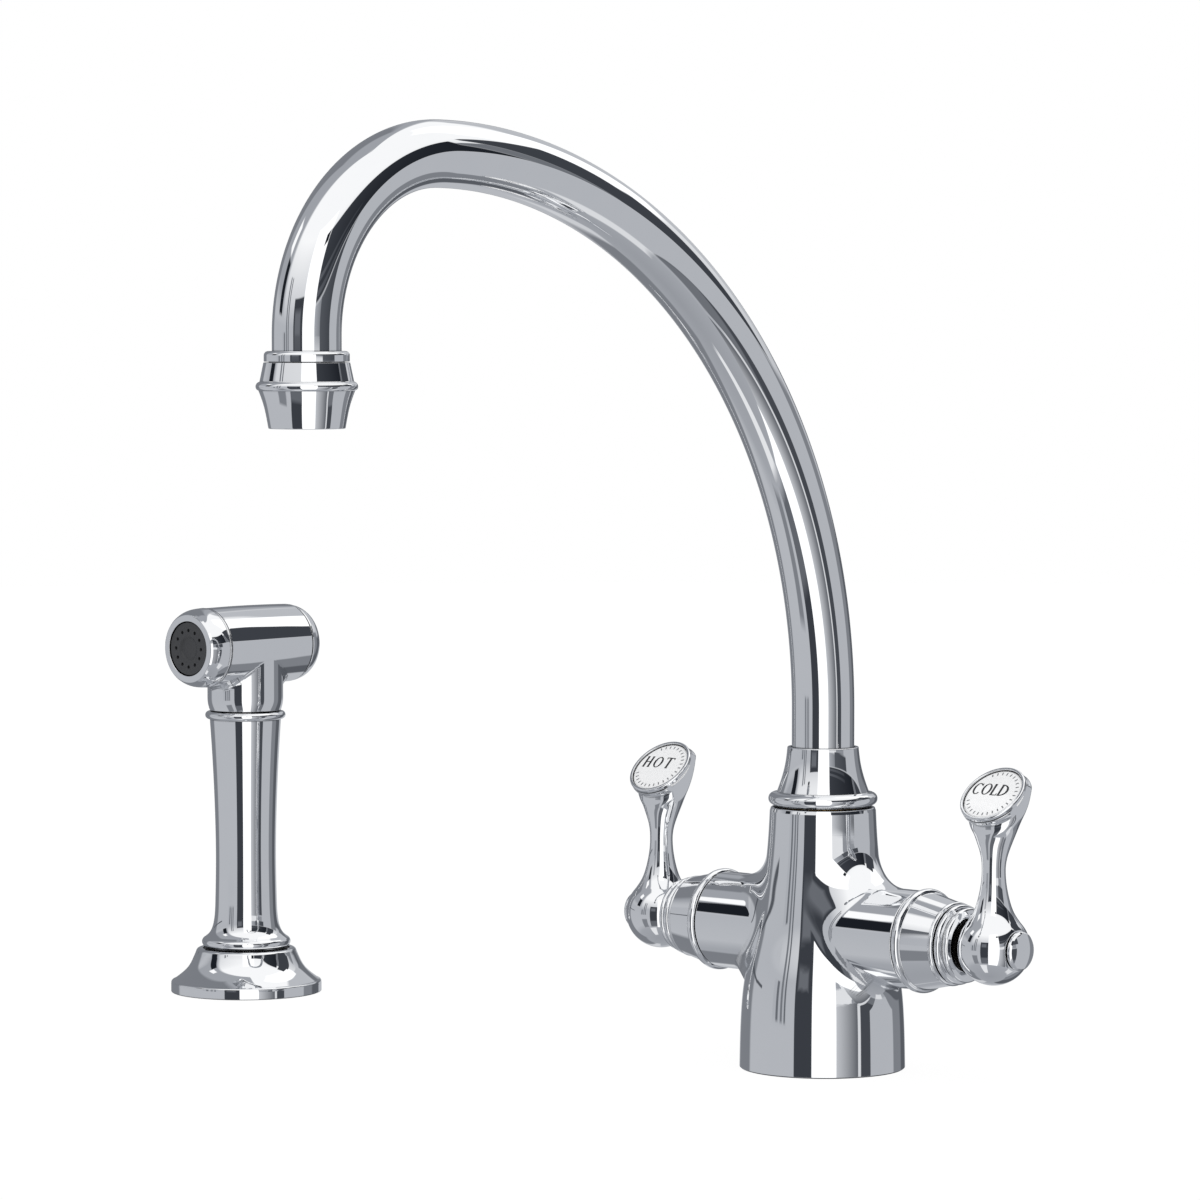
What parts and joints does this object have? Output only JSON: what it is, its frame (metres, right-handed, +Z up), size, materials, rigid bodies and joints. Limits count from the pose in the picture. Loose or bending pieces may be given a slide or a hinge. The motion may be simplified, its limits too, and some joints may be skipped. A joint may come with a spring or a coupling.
{
  "type": "side spray kitchen faucet",
  "caption": "Deck-mounted kitchen mixer with a swivelling gooseneck spout, quarter-turn lever handles on either side and a separate lift-out side spray with a thumb button.",
  "frame": {"origin": "centre of the mixer's tap hole, on the worktop's top face", "axes": "+Z up along the mixer's axis; the spout and the spray head point along -Y, towards the user; the hot lever is on -X, the cold lever on +X and the spray stands on -X"},
  "size_m": [0.3939, 0.2798, 0.3868],
  "materials": {
    "chrome_plate": "bright polished chrome plate",
    "bare_brass": "machined, unplated",
    "stainless_steel": "plain drawn",
    "valve_ceramic": "lapped alumina",
    "index_porcelain": "glazed white, with dark lettering",
    "seal_rubber": "matt",
    "nylon": "moulded",
    "grey_plastic": "moulded, slightly satin"
  },
  "bodies": {
    "root": {"body_casting": "chrome_plate", "base_gasket": "seal_rubber", "spout_grub_screw": "stainless_steel", "spout_bearing_ring": "nylon", "fixing_shank": "bare_brass", "worktop_rubber_washer": "seal_rubber", "worktop_steel_washer": "stainless_steel", "fixing_nut": "bare_brass", "hot_supply_tail": "bare_brass", "cold_supply_tail": "bare_brass", "spray_supply_tail": "bare_brass", "hot_valve_shroud": "chrome_plate", "hot_gland_collar": "chrome_plate", "hot_cartridge_housing": "bare_brass", "hot_cartridge_seal": "seal_rubber", "hot_fixed_disc": "valve_ceramic", "cold_valve_shroud": "chrome_plate", "cold_gland_collar": "chrome_plate", "cold_cartridge_housing": "bare_brass", "cold_cartridge_seal": "seal_rubber", "cold_fixed_disc": "valve_ceramic", "spray_flange": "chrome_plate", "spray_gasket": "seal_rubber", "spray_shank": "bare_brass", "spray_nut": "bare_brass", "spray_guide_bush": "nylon"},
    "diverter": {"diverter_piston": "bare_brass"},
    "hot_lever": {"hot_moving_disc": "valve_ceramic", "hot_spindle": "bare_brass", "hot_lever_handle": "chrome_plate", "hot_index_bezel": "chrome_plate", "hot_index_plate": "index_porcelain", "hot_handle_screw": "stainless_steel", "hot_end_cap": "chrome_plate"},
    "cold_lever": {"cold_moving_disc": "valve_ceramic", "cold_spindle": "bare_brass", "cold_lever_handle": "chrome_plate", "cold_index_bezel": "chrome_plate", "cold_index_plate": "index_porcelain", "cold_handle_screw": "stainless_steel", "cold_end_cap": "chrome_plate"},
    "spout": {"spout_tube": "chrome_plate", "spout_ferrule": "chrome_plate", "spout_spigot": "bare_brass", "spout_lower_seal": "seal_rubber", "spout_upper_seal": "seal_rubber", "aerator_collar": "chrome_plate", "aerator_housing": "chrome_plate", "aerator_washer": "seal_rubber", "aerator_insert": "grey_plastic"},
    "spray_hose_end": {"spray_hose_connector": "bare_brass"},
    "spray_handset": {"spray_handle": "chrome_plate", "spray_head": "chrome_plate", "spray_nozzle_cap": "chrome_plate", "spray_nozzle_plate": "grey_plastic", "spray_rear_cap": "chrome_plate", "spray_valve_spring": "stainless_steel"},
    "spray_button": {"spray_thumb_button": "chrome_plate", "spray_valve_stem": "stainless_steel", "spray_valve_seal": "seal_rubber"}
  },
  "joints": [
    {"name": "spout_swivel", "type": "hinge", "parent": "root", "child": "spout", "pos_m": [0, 0, 0.0865], "axis": [0, 0, 1], "continuous": true},
    {"name": "hot_handle_turn", "type": "hinge", "parent": "root", "child": "hot_lever", "pos_m": [-0.0725, 0, 0.0458], "axis": [1, 0, 0], "range_deg": [0, 90]},
    {"name": "cold_handle_turn", "type": "hinge", "parent": "root", "child": "cold_lever", "pos_m": [0.0725, 0, 0.0458], "axis": [1, 0, 0], "range_deg": [0, 90]},
    {"name": "spray_lift", "type": "slide", "parent": "root", "child": "spray_hose_end", "axis": [0, 0, 1], "range_m": [0, 0.15]},
    {"name": "spray_turn", "type": "hinge", "parent": "spray_hose_end", "child": "spray_handset", "pos_m": [-0.2802, 0, 0.01], "axis": [0, 0, 1], "continuous": true},
    {"name": "thumb_button_press", "type": "slide", "parent": "spray_handset", "child": "spray_button", "axis": [0, -1, 0], "range_m": [0, 0.003], "stiffness_N_per_m": 400, "springref_m": -0.005, "deforming": ["spray_valve_spring"]},
    {"name": "diverter_slide", "type": "slide", "parent": "root", "child": "diverter", "axis": [0, 0, 1], "range_m": [0, 0.003]}
  ],
  "couplings": [
    {"joint": "diverter_slide", "follows": "thumb_button_press", "ratio": 1}
  ]
}
